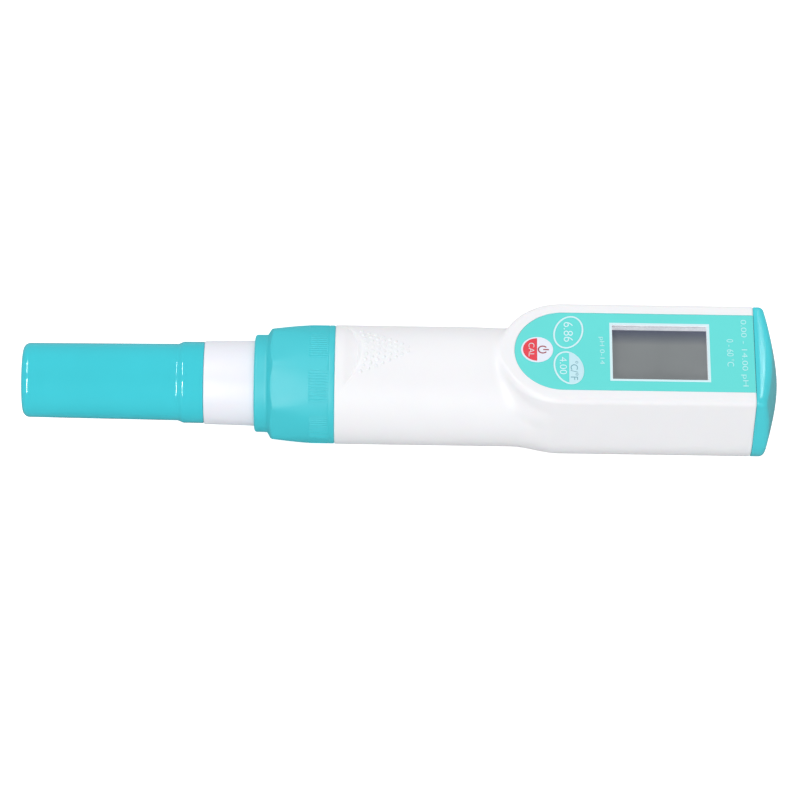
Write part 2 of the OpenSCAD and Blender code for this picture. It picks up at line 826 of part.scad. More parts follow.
placed() probe_cap();
placed() cap_sponge();
placed() cap_oring();
placed() electrode_sleeve();
placed() electrode_barrel();
placed() glass_electrode();
placed() silver_wire();
placed() reference_wire();
placed() junction_ring();
placed() temperature_probe();
placed() sensor_leads();
placed() potting_disc();
placed() electrode_oring();
placed() plug_block();
placed() plug_pins();
placed() lock_collar();
placed() collar_gasket();
placed() thread_insert();
placed() socket_block();
placed() socket_contacts();
placed() signal_wires();
placed() body_shell();
placed() face_overlay();
placed() display_window();
placed() power_key();
placed() ph7_key();
placed() ph4_key();
placed() power_plunger();
placed() ph7_plunger();
placed() ph4_plunger();
placed() switch_bodies();
placed() carrier_frame();
placed() main_board();
placed() board_screws();
placed() lcd_glass();
placed() lcd_frame();
placed() zebra_strips();
placed() main_chip();
placed() amplifier_chips();
placed() crystal_can();
placed() battery_leaves();
placed() end_cap();
placed() end_gasket();
placed() battery_tray();
placed() tray_screws();
placed() button_cells();
placed() cell_spring();
placed() cell_plate();
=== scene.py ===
"""Looks of a pen-type pH meter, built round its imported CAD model.

Shapes are worked out in millimetres, in the row frame, and h is a height above the barrel's axis.
"""
import json
import math

import bmesh
import bpy
import numpy as np
from mathutils import Matrix, Vector


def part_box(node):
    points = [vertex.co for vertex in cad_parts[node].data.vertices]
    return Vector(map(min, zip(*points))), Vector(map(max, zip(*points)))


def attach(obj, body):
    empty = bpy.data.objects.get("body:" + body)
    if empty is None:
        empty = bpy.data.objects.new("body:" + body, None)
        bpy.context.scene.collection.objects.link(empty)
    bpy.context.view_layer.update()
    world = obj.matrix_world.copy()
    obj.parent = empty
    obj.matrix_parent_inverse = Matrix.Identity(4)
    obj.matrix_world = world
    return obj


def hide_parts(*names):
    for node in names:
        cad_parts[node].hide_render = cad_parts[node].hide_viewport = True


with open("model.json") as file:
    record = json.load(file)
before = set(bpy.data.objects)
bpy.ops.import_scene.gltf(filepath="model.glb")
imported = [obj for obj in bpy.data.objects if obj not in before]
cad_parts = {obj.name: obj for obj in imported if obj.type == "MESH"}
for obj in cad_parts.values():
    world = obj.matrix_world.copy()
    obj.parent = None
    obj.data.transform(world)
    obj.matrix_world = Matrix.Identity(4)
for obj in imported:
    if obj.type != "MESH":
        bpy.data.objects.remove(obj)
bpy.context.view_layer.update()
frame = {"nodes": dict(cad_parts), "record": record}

MM = 0.001
MOUNTS = {m["name"]: m for m in frame["record"]["mounts"]}


def span(node):
    """Lowest and highest corner of a CAD node, in millimetres."""
    low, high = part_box(node)
    return np.array(low) / MM, np.array(high) / MM


# ---------- Sizes read from the frame ----------

AXIS_Z = MOUNTS["barrel"]["pos_m"][2] / MM
BARREL_R = MOUNTS["barrel"]["dims"]["r_mm"]
SHELL_LOW, SHELL_HIGH = span("body_shell")
OVERLAY_LOW, OVERLAY_HIGH = span("face_overlay")
WINDOW_LOW, WINDOW_HIGH = span("display_window")
CAP_LOW, CAP_HIGH = span("probe_cap")
SLEEVE_LOW, SLEEVE_HIGH = span("electrode_sleeve")
COLLAR_LOW = span("lock_collar")[0]
INSERT_LOW, INSERT_HIGH = span("thread_insert")
END_LOW, END_HIGH = span("end_cap")
GUARD_HIGH = span("electrode_barrel")[1]
BULB_LOW, BULB_HIGH = span("glass_electrode")

BODY_X = SHELL_LOW[0]              # the barrel's end beside the collar
END_X = SHELL_HIGH[0]              # the seam of the battery cap
HEAD_W = SHELL_HIGH[1]
FACE_H = SHELL_HIGH[2] - AXIS_Z
BACK_H = AXIS_Z
OVERLAY_W = OVERLAY_HIGH[1]
OVERLAY_LEAD = 0.35                # how far the centre of the overlay's round end is ahead of ARC_X
ARC_X = OVERLAY_LOW[0] + OVERLAY_W + OVERLAY_LEAD
PLATFORM_LEAD = 0.7                # the same for the platform itself
FACE_TOP = OVERLAY_HIGH[2]

# ---------- Sizes of the details ----------

HEAD_WALL = 1.8
FACE_CORNER = 1.7
BACK_CORNER = 12.6
CAVITY_X = ARC_X - 1.3             # where the barrel's bore opens into the head's cavity
INSERT_SEAT_X = BODY_X + 2.0       # the inner face that the insert's flange rests on
BORE_R = BARREL_R - 2.0
NOTCH_X = BODY_X + 2.3             # the thumb notch, from its shallow end to its round wall
NOTCH_END = NOTCH_X + 4.2
NOTCH_ARC_R = 12.5
NOTCH_CENTRE = NOTCH_END - NOTCH_ARC_R
STUD_R, STUD_H = 0.52, 0.28        # the grip's studs behind the notch
OVAL_A, OVAL_B, OVAL_LEAN = 5.25, 3.65, 15.0     # half axes and lean of the two oval keys
FLATS, COLLAR_PHASE = 8, -5.0
GRIP_HALF, GRIP_PITCH = 16.0, 32.0 / 12          # angles of half a block of grip ribs and of one rib
DOME_H, DOME_SLOPE, DOME_SOFT = 1.4, 0.31, 3.0   # the battery cap's dome: centre, slope, rounding


# ---------- Building blocks ----------

def link(name, data):
    """An object for some data, in the scene."""
    obj = bpy.data.objects.new(name, data)
    bpy.context.scene.collection.objects.link(obj)
    return obj


def mesh_object(name, points, faces, sharp=35):
    """A mesh from points in millimetres, shaded smooth except at edges sharper than an angle."""
    data = bpy.data.meshes.new(name)
    data.from_pydata((np.asarray(points, float) * MM).tolist(), [], faces)
    work = bmesh.new()
    work.from_mesh(data)
    bmesh.ops.remove_doubles(work, verts=work.verts, dist=1e-8)
    bmesh.ops.dissolve_degenerate(work, edges=work.edges, dist=1e-9)
    bmesh.ops.recalc_face_normals(work, faces=work.faces)
    work.to_mesh(data)
    work.free()
    shade(data, sharp)
    return link(name, data)


def shade(data, sharp):
    """Smooth shading that breaks at edges sharper than an angle in degrees."""
    data.shade_smooth()
    data.set_sharp_from_angle(angle=math.radians(sharp))


def ring_faces(rings, count, looped):
    """Quads between neighbouring rings of count points, and from the last ring to the first if looped."""
    i = np.arange(rings if looped else rings - 1)[:, None]
    k = np.arange(count)[None, :]
    after = (i + 1) % rings
    k_after = (k + 1) % count
    corners = [i * count + k, i * count + k_after, after * count + k_after, after * count + k]
    return np.stack(corners, axis=-1).reshape(-1, 4).tolist()


def skin(name, rings, looped=True, sharp=35):
    """A closed skin through rings of points. Unlooped, its first and last rings shrink to a point."""
    rings = np.asarray(rings, float)
    count = rings.shape[1]
    return mesh_object(name, rings.reshape(-1, 3), ring_faces(len(rings), count, looped), sharp)


def rounded(corners, steps=6):
    """A polyline through corners given as (x, y) or (x, y, rounding radius)."""
    points = []
    for i, corner in enumerate(corners):
        here = np.array(corner[:2], float)
        radius = corner[2] if len(corner) > 2 else 0
        if not radius:
            points.append(here)
            continue
        before = np.array(corners[i - 1][:2], float) - here
        after = np.array(corners[(i + 1) % len(corners)][:2], float) - here
        before /= np.linalg.norm(before)
        after /= np.linalg.norm(after)
        half = math.acos(np.clip(before @ after, -1, 1)) / 2
        centre = here + (before + after) / np.linalg.norm(before + after) * radius / math.sin(half)
        start = here + before * radius / math.tan(half) - centre
        end = here + after * radius / math.tan(half) - centre
        first = math.atan2(start[1], start[0])
        turn = (math.atan2(end[1], end[0]) - first + math.pi) % (2 * math.pi) - math.pi
        for t in np.linspace(0, 1, steps + 1):
            angle = first + turn * t
            points.append(centre + radius * np.array([math.cos(angle), math.sin(angle)]))
    return np.array(points)


def lathe(name, profile, segments, looped=True):
    """A solid of revolution about the barrel's axis, from (x, radius) points."""
    profile = np.asarray(profile, float)
    angles = np.linspace(0, 2 * math.pi, segments, endpoint=False)
    return skin(name, polar(profile[:, 0:1], profile[:, 1:2] + 0 * angles, angles), looped)


def polar(x, radius, angles):
    """Points at a radius and an angle from the face's side, for matching arrays of stations."""
    return np.stack([x + 0 * radius, radius * np.sin(angles), AXIS_Z + radius * np.cos(angles)], axis=-1)


def reach(gap, x, angles):
    """Distance from the axis at which gap(x, y, h) turns positive, found by bisection."""
    furthest, halvings = 26.0, 36
    low = np.zeros(np.broadcast(x, angles).shape)
    high = low + furthest
    for _ in range(halvings):
        middle = (low + high) / 2
        inside = gap(x + 0 * middle, middle * np.sin(angles), middle * np.cos(angles)) < 0
        low = np.where(inside, middle, low)
        high = np.where(inside, high, middle)
    return (low + high) / 2


def ease(t):
    """Rises smoothly from 0 to 1 as t does."""
    t = np.clip(t, 0, 1)
    return t * t * (3 - 2 * t)


def soft_min(a, b, k):
    """The smaller of two gaps, blended over a band of width k."""
    k = np.maximum(k, 1e-4)
    t = np.maximum(k - np.abs(a - b), 0) / k
    return np.minimum(a, b) - t * t * k / 4


def soft_max(a, b, k):
    """The larger of two gaps, blended over a band of width k."""
    return -soft_min(-a, -b, k)


def round_max(a, b, r):
    """The larger of two gaps, with the edge between them rounded to radius r."""
    u = np.maximum(a + r, 0)
    v = np.maximum(b + r, 0)
    return np.minimum(np.maximum(a, b), -r) + np.hypot(u, v)


def flat_piece(name, outlines, low, high, bevel=0.0):
    """A plate between two heights whose outlines, in (x, y), alternate between edge and hole."""
    curve = bpy.data.curves.new(name, "CURVE")
    curve.dimensions = "2D"
    curve.fill_mode = "BOTH"
    for outline in outlines:
        spline = curve.splines.new("POLY")
        spline.points.add(len(outline) - 1)
        for point, (x, y) in zip(spline.points, outline):
            point.co = (x * MM, y * MM, 0, 1)
        spline.use_cyclic_u = True
    curve.extrude = ((high - low) / 2 - bevel) * MM
    curve.bevel_depth = bevel * MM
    curve.offset = -bevel * MM
    data = settled_mesh(link(name, curve))
    data.name = name
    data.transform(Matrix.Translation((0, 0, (low + high) / 2 * MM)))
    shade(data, 35)
    return link(name, data)


def settled_mesh(obj):
    """The final mesh of a curve, text or modified object, which is then removed."""
    bpy.context.view_layer.update()
    graph = bpy.context.evaluated_depsgraph_get()
    data = bpy.data.meshes.new_from_object(obj.evaluated_get(graph))
    data.transform(obj.matrix_world)
    bpy.data.objects.remove(obj)
    return data


def lettering(name, words, x, y, height, length, low, high, weight=0.0):
    """Raised print that reads towards -Y, with its tops towards +X, scaled to a height and a length."""
    curve = bpy.data.curves.new(name, "FONT")
    curve.body = words
    curve.align_x = "CENTER"
    curve.align_y = "CENTER"
    curve.extrude = (high - low) / 2 * MM
    curve.offset = weight
    data = settled_mesh(link(name, curve))
    points = np.array([v.co for v in data.vertices])
    size = np.ptp(points, axis=0)
    middle = (points.max(axis=0) + points.min(axis=0)) / 2
    scale = Matrix.Diagonal((length * MM / size[0], height * MM / size[1], 1, 1))
    turn = Matrix.Rotation(-math.pi / 2, 4, "Z")
    place = Matrix.Translation((x * MM, y * MM, (low + high) / 2 * MM))
    data.transform(place @ turn @ scale @ Matrix.Translation((-middle[0], -middle[1], 0)))
    return link(name, data)


def finish_piece(obj, body, material, slot, *nodes):
    """Gives a piece its finish and its body, and hides the CAD nodes that it stands for."""
    obj.data.materials.clear()
    obj.data.materials.append(material)
    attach(obj, body)
    if nodes:
        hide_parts(*nodes)
    return obj


def arc(x, y, r, angles):
    return [(x + r * math.cos(a), y + r * math.sin(a)) for a in angles]


def circle(x, y, r, count=96):
    return arc(x, y, r, np.linspace(0, 2 * math.pi, count, endpoint=False))


def oval(x, y, a, b, lean):
    """An ellipse whose long half-axis a is turned from +X by lean degrees."""
    c, s = math.cos(math.radians(lean)), math.sin(math.radians(lean))
    points = []
    for along, across in circle(0, 0, 1):
        points.append((x + a * along * c - b * across * s, y + a * along * s + b * across * c))
    return points


def rectangle(x0, x1, half_w, corner=0.01):
    """A rectangle with slightly rounded corners, centred across the meter."""
    spots = [(x0, -half_w), (x1, -half_w), (x1, half_w), (x0, half_w)]
    return rounded([(x, y, corner) for x, y in spots], 4).tolist()


def overlay_outline(half_w, x_end):
    """The overlay's outline: a half circle towards the barrel and straight sides up to x_end."""
    round_end = arc(ARC_X - OVERLAY_LEAD, 0, half_w, np.linspace(math.pi / 2, 3 * math.pi / 2, 64))
    return round_end + [(x_end, -half_w), (x_end, half_w)]


def cut_at(outline, x_cut, keep_above):
    """The part of a closed outline on one side of the line x = x_cut."""
    kept = []
    for (x0, y0), (x1, y1) in zip(outline, outline[1:] + outline[:1]):
        if (x0 > x_cut) == keep_above:
            kept.append((x0, y0))
        if (x0 > x_cut) != (x1 > x_cut):
            t = (x_cut - x0) / (x1 - x0)
            kept.append((x_cut, y0 + t * (y1 - y0)))
    return kept


# ---------- Materials ----------

def srgb(red, green, blue):
    """A display colour, 0 to 255, as the linear colour that a shader takes."""
    def linear(c):
        c /= 255
        return c / 12.92 if c <= 0.04045 else ((c + 0.055) / 1.055) ** 2.4
    return (linear(red), linear(green), linear(blue), 1.0)


def shifted(colour, factor):
    """A colour made lighter or darker by a factor."""
    return tuple(min(c * factor, 1.0) for c in colour[:3]) + (1.0,)


class Shader:
    """A node material with short calls for the nodes that it needs."""

    def __init__(self, name):
        self.material = bpy.data.materials.new(name)
        self.material.use_nodes = True
        self.tree = self.material.node_tree
        self.tree.nodes.clear()
        self.place = self.add("TexCoord").outputs["Object"]

    def add(self, kind, values=None, **settings):
        node = self.tree.nodes.new("ShaderNode" + kind)
        for key, value in settings.items():
            setattr(node, key, value)
        for key, value in (values or {}).items():
            if isinstance(value, bpy.types.NodeSocket):
                self.tree.links.new(value, node.inputs[key])
            else:
                node.inputs[key].default_value = value
        return node

    def noise(self, size_mm, detail=3.0, where=None):
        """Noise whose features are about size_mm across, from 0 to 1."""
        values = {"Vector": where or self.place, "Scale": 1 / (size_mm * MM), "Detail": detail}
        return self.add("TexNoise", values).outputs["Fac"]

    def ramp(self, factor, low, high, first, last):
        """Blends from first to last as factor goes from low to high."""
        node = self.add("ValToRGB", {"Fac": factor})
        node.color_ramp.elements[0].position = low
        node.color_ramp.elements[0].color = first
        node.color_ramp.elements[1].position = high
        node.color_ramp.elements[1].color = last
        return node.outputs["Color"]

    def remap(self, value, low, high):
        return self.add("MapRange", {"Value": value, "To Min": low, "To Max": high}).outputs["Result"]

    def bump(self, height, depth_mm, strength=1.0, normal=None):
        values = {"Height": height, "Distance": depth_mm * MM, "Strength": strength}
        if normal:
            values["Normal"] = normal
        return self.add("Bump", values).outputs["Normal"]

    def finish(self, surface):
        output = self.add("OutputMaterial")
        self.tree.links.new(surface, output.inputs["Surface"])
        return self.material


def plastic(name, colour, rough, grain=0.3, depth=0.004, drift=0.03, shine=0.5, soft=0.0):
    """Moulded plastic: slow colour drift, uneven gloss, faint flow waviness and a fine moulded grain.

    The grain's size and depth are in millimetres, and soft is the share of light that goes in.
    """
    s = Shader(name)
    tint = s.ramp(s.noise(24), 0.3, 0.7, shifted(colour, 1 - drift), shifted(colour, 1 + drift))
    roughness = s.remap(s.noise(3.5), rough * 0.85, rough * 1.15)
    waves = s.bump(s.noise(7.0, 1.0), 0.02, 0.35)
    normal = s.bump(s.noise(grain), depth, 0.6, waves)
    values = {"Base Color": tint, "Roughness": roughness, "Normal": normal, "IOR": 1.5}
    values["Specular IOR Level"] = shine
    values["Subsurface Weight"] = soft
    values["Subsurface Scale"] = 0.8 * MM
    return s.finish(s.add("BsdfPrincipled", values).outputs["BSDF"])


def printed(name, colour, rough=0.45, drift=0.01):
    """A printed colour, smoother than the plastic under it."""
    return plastic(name, colour, rough, grain=0.2, depth=0.001, drift=drift)


def clear(name, tint, roughness, strength=1.0):
    """Clear plastic or thin glass: see-through, with a reflection that grows at grazing angles."""
    s = Shader(name)
    ripple = s.bump(s.noise(5.0, 1.0), 0.004, 0.4)
    see = s.add("BsdfTransparent", {"Color": tint})
    shine = s.add("BsdfGlossy", {"Color": (1, 1, 1, 1), "Roughness": roughness, "Normal": ripple})
    fresnel = s.add("Fresnel", {"IOR": 1.45, "Normal": ripple}).outputs["Fac"]
    share = s.add("Math", {0: fresnel, 1: strength}, operation="MULTIPLY").outputs[0]
    mix = s.add("MixShader", {"Fac": share, 1: see.outputs[0], 2: shine.outputs[0]})
    return s.finish(mix.outputs[0])


def metal(name, colour, roughness):
    """Drawn or turned metal with fine scratches along the meter and slight tarnish."""
    s = Shader(name)
    along = s.add("Mapping", {"Vector": s.place, "Scale": (0.04, 1.0, 1.0)}).outputs["Vector"]
    scratches = s.noise(0.12, 4.0, along)
    tint = s.ramp(s.noise(2.5), 0.3, 0.75, shifted(colour, 0.9), colour)
    values = {"Base Color": tint, "Metallic": 1.0}
    values["Roughness"] = s.remap(scratches, roughness * 0.7, roughness * 1.4)
    values["Normal"] = s.bump(scratches, 0.003, 0.5)
    return s.finish(s.add("BsdfPrincipled", values).outputs["BSDF"])


def rubber(name, colour):
    """Dull rubber with dust in its pores."""
    s = Shader(name)
    pores = s.noise(0.25, 5.0)
    tint = s.ramp(pores, 0.35, 0.8, colour, shifted(colour, 1.8))
    values = {"Base Color": tint, "Roughness": s.remap(pores, 0.55, 0.8), "Normal": s.bump(pores, 0.02, 0.6)}
    return s.finish(s.add("BsdfPrincipled", values).outputs["BSDF"])


def display():
    """An unlit liquid crystal: greenish grey, with painted shade along its far edge where the opening's wall
    shades it, and a faint fine pitch.
    """
    s = Shader("unlit_display")
    low, high = span("lcd_glass")
    across = s.add("SeparateXYZ", {"Vector": s.place}).outputs["Y"]
    limits = {"Value": across, "From Min": low[1] * MM, "From Max": high[1] * MM}
    share = s.add("MapRange", limits).outputs["Result"]
    # Painted shade: the colour darkens towards the far edge (+Y), standing in for the shade of the opening's
    # wall.
    base = s.ramp(share, 0.70, 0.90, srgb(148, 150, 151), srgb(98, 103, 120))
    cloud = s.ramp(s.noise(9.0, 2.0), 0.3, 0.7, (0.93, 0.93, 0.93, 1), (1, 1, 1, 1))
    tint = s.add("Mix", {"Factor": 1.0, "A": base, "B": cloud}, data_type="RGBA", blend_type="MULTIPLY")
    values = {"Roughness": s.remap(s.noise(0.2), 0.32, 0.42), "IOR": 1.4}
    bsdf = s.add("BsdfPrincipled", values)
    s.tree.links.new(tint.outputs["Result"], bsdf.inputs["Base Color"])
    return s.finish(bsdf.outputs["BSDF"])


def sponge():
    """Open-cell sponge: pits between thin walls, with painted shade darkening the pits."""
    s = Shader("storage_sponge")
    cells = s.add("TexVoronoi", {"Vector": s.place, "Scale": 1 / (0.9 * MM)}).outputs["Distance"]
    # Painted shade: darker in the middle of each cell, where the bump sinks the pits, and lighter on the
    # walls.
    tint = s.ramp(cells, 0.1, 0.7, srgb(176, 148, 84), srgb(240, 224, 160))
    values = {"Base Color": tint, "Roughness": 0.9, "Normal": s.bump(cells, 0.5, 0.9)}
    return s.finish(s.add("BsdfPrincipled", values).outputs["BSDF"])


def ceramic():
    """Porous white junction ceramic, slightly stained."""
    s = Shader("porous_ceramic")
    pores = s.noise(0.3, 6.0)
    tint = s.ramp(pores, 0.3, 0.7, srgb(214, 206, 188), srgb(246, 243, 234))
    values = {"Base Color": tint, "Roughness": 0.85, "Normal": s.bump(pores, 0.03, 0.7)}
    return s.finish(s.add("BsdfPrincipled", values).outputs["BSDF"])


def circuit_board():
    """Green solder mask over copper tracks that show as paler straight bands."""
    s = Shader("solder_mask")
    layout = {"Vector": s.place, "Scale": 1 / (7 * MM), "Mortar Size": 0.018}
    layout |= {"Row Height": 0.16, "Brick Width": 0.9}
    colours = {"Color1": srgb(18, 92, 52), "Color2": srgb(22, 100, 56), "Mortar": srgb(62, 140, 84)}
    tracks = s.add("TexBrick", layout | colours)
    values = {"Base Color": tracks.outputs["Color"], "Roughness": s.remap(s.noise(1.5), 0.25, 0.4)}
    values["Normal"] = s.bump(tracks.outputs["Fac"], 0.03, 0.6)
    return s.finish(s.add("BsdfPrincipled", values).outputs["BSDF"])


def zebra():
    """Contact rubber in thin dark and pink layers."""
    s = Shader("contact_rubber")
    layout = {"Vector": s.place, "Scale": 1 / (3.2 * MM), "Distortion": 0.0}
    waves = s.add("TexWave", layout, bands_direction="X")
    tint = s.ramp(waves.outputs["Fac"], 0.45, 0.55, srgb(60, 44, 52), srgb(222, 140, 160))
    values = {"Base Color": tint, "Roughness": 0.7, "Normal": s.bump(waves.outputs["Fac"], 0.02, 0.4)}
    return s.finish(s.add("BsdfPrincipled", values).outputs["BSDF"])


def pale_well_painted_glow():
    """The pale plastic of the display opening, with a painted glow that stands in for the light round it."""
    s = Shader("pale_well_painted_glow")
    tint = s.ramp(s.noise(3.0), 0.3, 0.7, srgb(226, 226, 232), srgb(236, 236, 240))
    # Painted light: an emission in the plastic's own colour brightens the opening's walls as if they were
    # lit.
    values = {"Base Color": tint, "Roughness": 0.5, "Emission Color": tint, "Emission Strength": 0.28}
    return s.finish(s.add("BsdfPrincipled", values).outputs["BSDF"])


def floor_material():
    """Plain pale floor. The camera sees it as a white studio sweep, while the meter gets a softer bounce."""
    s = Shader("pale_floor")
    path = s.add("LightPath")
    cloud = s.ramp(s.noise(400), 0.3, 0.7, (0.98, 0.98, 0.98, 1), (1, 1, 1, 1))
    mirrored = s.remap(path.outputs["Is Glossy Ray"], 0.70, 0.28)
    tint = s.add("VectorMath", {0: cloud, "Scale": mirrored}, operation="SCALE").outputs["Vector"]
    diffuse = s.add("BsdfDiffuse", {"Color": tint, "Roughness": 0.5})
    seen = s.remap(path.outputs["Is Camera Ray"], 0.0, 0.75)
    glow = s.add("Emission", {"Color": (1, 1, 1, 1), "Strength": seen})
    return s.finish(s.add("AddShader", {0: diffuse.outputs[0], 1: glow.outputs[0]}).outputs[0])


TEAL_GLOSS = plastic("gloss_turquoise_abs", srgb(64, 203, 216), 0.04, 0.5, 0.0003, 0.02)
TEAL_END = plastic("end_cap_turquoise_abs", srgb(76, 209, 219), 0.14, 0.5, 0.001, 0.02)
TEAL_SATIN = plastic("satin_turquoise_abs", srgb(64, 200, 211), 0.5, 0.25, shine=0.35)
SHELL_WHITE = plastic("white_abs", srgb(241, 241, 243), 0.42, 0.4, 0.003, 0.008, 0.3, 0.08)
RING_WHITE = plastic("white_electrode_plastic", srgb(237, 238, 245), 0.4, 0.4, 0.002, 0.008, 0.3, 0.1)
LIGHT_PLASTIC = plastic("light_grey_plastic", srgb(214, 216, 220), 0.45, depth=0.006)
BLACK_PLASTIC = plastic("black_moulded_plastic", srgb(38, 39, 42), 0.42, 0.25, 0.01, 0.08)
WIRE_RED = plastic("red_wire_insulation", srgb(196, 52, 44), 0.4, drift=0.05)
OVERLAY_TEAL = plastic("overlay_print", srgb(98, 222, 217), 0.4, 0.25, 0.002, 0.015)
PRINT_WHITE = printed("white_print", srgb(212, 240, 245))
PRINT_FINE = printed("fine_white_print", srgb(186, 236, 238))
PRINT_PALE = printed("pale_blue_print", srgb(196, 232, 241))
PRINT_KEY = printed("key_white_print", srgb(232, 236, 248), 0.4)
PRINT_RED = printed("red_print", srgb(232, 62, 76), 0.4, 0.02)
PRINT_MAROON = printed("dark_red_print", srgb(160, 48, 70), drift=0.02)
PRINT_GREY = printed("grey_teal_print", srgb(118, 172, 186), drift=0.02)
CLEAR_PLASTIC = clear("clear_polycarbonate", (0.94, 0.97, 0.98, 1), 0.04)
WINDOW_CLEAR = clear("display_pane", (0.97, 0.98, 0.98, 1), 0.05, 0.25)
THIN_GLASS = clear("electrode_glass", (0.96, 0.985, 0.99, 1), 0.01)
STEEL = metal("bright_steel", srgb(206, 208, 212), 0.25)
SILVER = metal("drawn_silver", srgb(226, 224, 220), 0.22)
GOLD = metal("gold_plate", srgb(226, 188, 108), 0.22)
BLACK_RUBBER = rubber("seal_rubber", srgb(34, 34, 36))
SPONGE = sponge()
CERAMIC = ceramic()
BOARD = circuit_board()
ZEBRA = zebra()
DISPLAY = display()
WELL = pale_well_painted_glow()


# ---------- Main body ----------

def section_gap(y, h, inset=0.0, top=FACE_H):
    """Gap to the head's section, shrunk by an inset."""
    low, high = inset - BACK_H, top - inset
    middle = (low + high) / 2
    corner = np.where(h > middle, max(FACE_CORNER - inset, 0.4), BACK_CORNER - inset)
    u = np.abs(y) - (HEAD_W - inset) + corner
    v = np.abs(h - middle) - (high - low) / 2 + corner
    return np.minimum(np.maximum(u, v), 0) + np.hypot(np.maximum(u, 0), np.maximum(v, 0)) - corner


def plan_gap(x, y):
    """Gap to the platform's outline in plan, which is round towards the barrel."""
    return np.hypot(np.minimum(x - ARC_X + PLATFORM_LEAD, 0), y) - HEAD_W


def platform_gap(x, y, h):
    """The raised face: upright walls below a rounded edge, whose foot recedes lower down the sides."""
    edge_r, no_top = 1.5, 60.0
    recede = 0.12 * np.maximum(1 - h, 0) ** 2
    walls = plan_gap(x - recede, y)
    return np.maximum(round_max(walls, h - FACE_H, edge_r), section_gap(y, h, 0.0, no_top))


def trunk_gap(x, y, h):
    """The round barrel, which widens into the head's flatter sides and back over a short length."""
    widen_x, widen_length = ARC_X - 13, 12
    waist_x, waist_length, waist_depth = ARC_X - HEAD_W - 7, 7, 0.4
    chamfer_length, chamfer_depth = 0.3, 0.22
    widen = ease((x - widen_x) / widen_length)
    half_w = BARREL_R + (HEAD_W - BARREL_R) * widen
    corner = BARREL_R - (BARREL_R - BACK_CORNER) * widen
    upper = np.hypot(np.maximum(np.abs(y) - half_w + BARREL_R, 0), h) - BARREL_R
    u = np.abs(y) - half_w + corner
    v = -h - BACK_H + corner
    lower = np.minimum(np.maximum(u, v), 0) + np.hypot(np.maximum(u, 0), np.maximum(v, 0)) - corner
    upward = np.maximum(h, 0) / (np.hypot(y, h) + 1e-6)
    waist = waist_depth * ease((x - waist_x) / waist_length) * upward ** 2
    chamfer = chamfer_depth * (1 - ease((x - BODY_X) / chamfer_length))
    return np.where(h > 0, upper, lower) + waist + chamfer


def notch_gap(x, y, h):
    """The thumb notch: a ramp into the barrel that ends at a round sloping wall."""
    depth, wall_slope = 1.2, 0.8
    radius = np.hypot(y, h)
    ramp = BARREL_R - depth * (x - NOTCH_X) / (NOTCH_END - NOTCH_X)
    wall = np.hypot(x - NOTCH_CENTRE, y) - NOTCH_ARC_R + wall_slope * (BARREL_R - radius)
    return np.maximum(np.maximum(ramp - radius, wall), -h)


def body_gap(x, y, h):
    """The whole body: platform and trunk in one skin, cut by the face, the back and the notch."""
    fillet = 0.8 + (1.0 + 0.22 * np.maximum(FACE_H - h, 0)) * ease((h - 2) / 6)
    fillet = fillet * (1 - ease((x - ARC_X + 5) / 6))
    solid = soft_min(platform_gap(x, y, h), trunk_gap(x, y, h), fillet)
    solid = np.maximum(np.maximum(solid, h - FACE_H), -h - BACK_H)
    solid = soft_max(solid, -notch_gap(x, y, h), 0.12)
    seam_chamfer = 0.2 * ease((x - END_X + 0.3) / 0.3)
    return solid + seam_chamfer


def turns():
    """Angles round the axis, closer together at the face's two edges."""
    coarse_step, fine_step = 1.25, 0.5
    fine_from, fine_to = 38.0, 53.0
    coarse = np.arange(0, 180, coarse_step)
    coarse = coarse[(coarse < fine_from) | (coarse > fine_to)]
    right = np.unique(np.concatenate([coarse, np.arange(fine_from, fine_to + 0.01, fine_step)]))
    left = 360 - right[right > 0]
    return np.radians(np.concatenate([right, [180.0], left[::-1]]))


def stations(*runs):
    """Stations along the meter: each run is (first, last, step)."""
    parts = [np.linspace(a, b, max(int(round((b - a) / step)), 1), endpoint=False) for a, b, step in runs]
    return np.append(np.concatenate(parts), runs[-1][1])


def shell_inside(x, angles):
    """Radius of the shell's hollow: the insert's hole, the barrel's bore, then the head's cavity."""
    insert_hole_r = 10.98
    if x < INSERT_SEAT_X - 0.001:
        return np.full(angles.shape, insert_hole_r)
    if x < CAVITY_X:
        return np.full(angles.shape, BORE_R)
    return reach(lambda x, y, h: section_gap(y, h, HEAD_WALL), x, angles)


def body_shell():
    """The white body, hollow, with its face cut out for the overlay, the display and the keys."""
    angles = turns()
    mouth = [(BODY_X, BODY_X + 0.4, 0.1), (BODY_X + 0.4, NOTCH_X, 0.4)]
    notch = [(NOTCH_X, NOTCH_END + 0.6, 0.12)]
    barrel = [(NOTCH_END + 0.6, ARC_X - 22, 1.6), (ARC_X - 22, ARC_X - 16.5, 0.4)]
    head = [(ARC_X - 16.5, ARC_X + 2, 0.22), (ARC_X + 2, END_X - 0.4, 2.0), (END_X - 0.4, END_X, 0.1)]
    x = stations(*mouth, *notch, *barrel, *head)
    outside = polar(x[:, None], reach(body_gap, x[:, None], angles[None, :]), angles[None, :])
    outside[..., 1] = np.clip(outside[..., 1], -HEAD_W, HEAD_W)
    inner_x = [END_X, END_X - 10, CAVITY_X + 0.001, CAVITY_X - 0.001]
    inner_x += [INSERT_SEAT_X, INSERT_SEAT_X - 0.01, BODY_X]
    inside = [polar(x, shell_inside(x, angles), angles) for x in inner_x]
    shell = skin("body_shell_outside", np.concatenate([outside, inside]))
    cut_face(shell)
    return finish_piece(shell, "body", SHELL_WHITE, "white_plastic", "body_shell")


def key_place(node):
    """Middle, half width across the meter and top of a key, which leaves room for its print."""
    low, high = span(node)
    x, y = (low[:2] + high[:2]) / 2
    return x, y, (high[1] - low[1]) / 2, high[2] - 0.05


